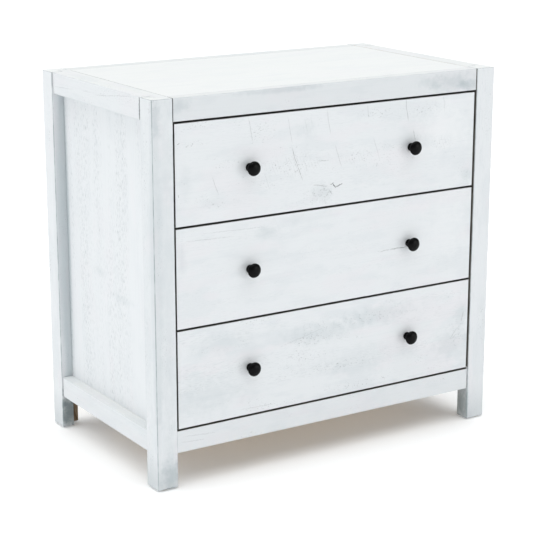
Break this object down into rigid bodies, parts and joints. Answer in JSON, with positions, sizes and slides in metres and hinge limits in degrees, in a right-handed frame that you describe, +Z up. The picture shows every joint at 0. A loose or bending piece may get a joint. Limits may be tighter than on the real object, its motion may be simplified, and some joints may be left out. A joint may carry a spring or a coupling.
{
  "type": "chest of drawers",
  "caption": "Low chest of drawers on square posts, in rough-sawn whitewashed wood, with round black knobs and side-mounted telescoping slides",
  "frame": {"origin": "on the floor, at the centre of the chest's outline with its knobs", "axes": "+X to the right seen from the front, +Y to the back, +Z up; the drawers open towards -Y"},
  "size_m": [0.813, 0.4914, 0.772],
  "materials": {
    "whitewashed_wood": "rough-sawn boards with a thin matt white wash, saw marks and grey specks",
    "raw_wood": "bare sanded softwood",
    "plywood": "bare plywood sheet",
    "black_metal": "satin black paint",
    "zinc_steel": "bright zinc plating",
    "glide_nylon": "off-white nylon"
  },
  "bodies": {
    "case": {"front_left_post": "whitewashed_wood", "rear_left_post": "whitewashed_wood", "left_top_side_rail": "whitewashed_wood", "left_bottom_side_rail": "whitewashed_wood", "left_side_panel": "whitewashed_wood", "left_top_batten": "raw_wood", "front_right_post": "whitewashed_wood", "rear_right_post": "whitewashed_wood", "right_top_side_rail": "whitewashed_wood", "right_bottom_side_rail": "whitewashed_wood", "right_side_panel": "whitewashed_wood", "right_top_batten": "raw_wood", "front_top_rail": "whitewashed_wood", "front_bottom_rail": "whitewashed_wood", "rear_top_rail": "whitewashed_wood", "rear_bottom_rail": "whitewashed_wood", "top_panel": "whitewashed_wood", "back_panel": "plywood", "corner_blocks": "raw_wood", "foot_glides": "glide_nylon", "bottom_slide_left_case_member": "zinc_steel", "bottom_slide_right_case_member": "zinc_steel", "middle_slide_left_case_member": "zinc_steel", "middle_slide_right_case_member": "zinc_steel", "top_slide_left_case_member": "zinc_steel", "top_slide_right_case_member": "zinc_steel"},
    "bottom_drawer": {"bottom_drawer_front": "whitewashed_wood", "bottom_drawer_box_front": "raw_wood", "bottom_drawer_box_back": "raw_wood", "bottom_drawer_left_side": "raw_wood", "bottom_drawer_right_side": "raw_wood", "bottom_drawer_bottom": "plywood", "bottom_drawer_knobs": "black_metal", "bottom_drawer_knob_screws": "zinc_steel", "bottom_slide_left_drawer_member": "zinc_steel", "bottom_slide_right_drawer_member": "zinc_steel"},
    "bottom_slide_middles": {"bottom_slide_middle_members": "zinc_steel"},
    "middle_drawer": {"middle_drawer_front": "whitewashed_wood", "middle_drawer_box_front": "raw_wood", "middle_drawer_box_back": "raw_wood", "middle_drawer_left_side": "raw_wood", "middle_drawer_right_side": "raw_wood", "middle_drawer_bottom": "plywood", "middle_drawer_knobs": "black_metal", "middle_drawer_knob_screws": "zinc_steel", "middle_slide_left_drawer_member": "zinc_steel", "middle_slide_right_drawer_member": "zinc_steel"},
    "middle_slide_middles": {"middle_slide_middle_members": "zinc_steel"},
    "top_drawer": {"top_drawer_front": "whitewashed_wood", "top_drawer_box_front": "raw_wood", "top_drawer_box_back": "raw_wood", "top_drawer_left_side": "raw_wood", "top_drawer_right_side": "raw_wood", "top_drawer_bottom": "plywood", "top_drawer_knobs": "black_metal", "top_drawer_knob_screws": "zinc_steel", "top_slide_left_drawer_member": "zinc_steel", "top_slide_right_drawer_member": "zinc_steel"},
    "top_slide_middles": {"top_slide_middle_members": "zinc_steel"}
  },
  "joints": [
    {"name": "bottom_drawer_slide", "type": "slide", "parent": "case", "child": "bottom_drawer", "axis": [0, -1, 0], "range_m": [0, 0.35]},
    {"name": "bottom_middles_slide", "type": "slide", "parent": "case", "child": "bottom_slide_middles", "axis": [0, -1, 0], "range_m": [0, 0.175]},
    {"name": "middle_drawer_slide", "type": "slide", "parent": "case", "child": "middle_drawer", "axis": [0, -1, 0], "range_m": [0, 0.35]},
    {"name": "middle_middles_slide", "type": "slide", "parent": "case", "child": "middle_slide_middles", "axis": [0, -1, 0], "range_m": [0, 0.175]},
    {"name": "top_drawer_slide", "type": "slide", "parent": "case", "child": "top_drawer", "axis": [0, -1, 0], "range_m": [0, 0.35]},
    {"name": "top_middles_slide", "type": "slide", "parent": "case", "child": "top_slide_middles", "axis": [0, -1, 0], "range_m": [0, 0.175]}
  ],
  "couplings": [
    {"joint": "bottom_middles_slide", "follows": "bottom_drawer_slide", "ratio": 0.5},
    {"joint": "middle_middles_slide", "follows": "middle_drawer_slide", "ratio": 0.5},
    {"joint": "top_middles_slide", "follows": "top_drawer_slide", "ratio": 0.5}
  ]
}
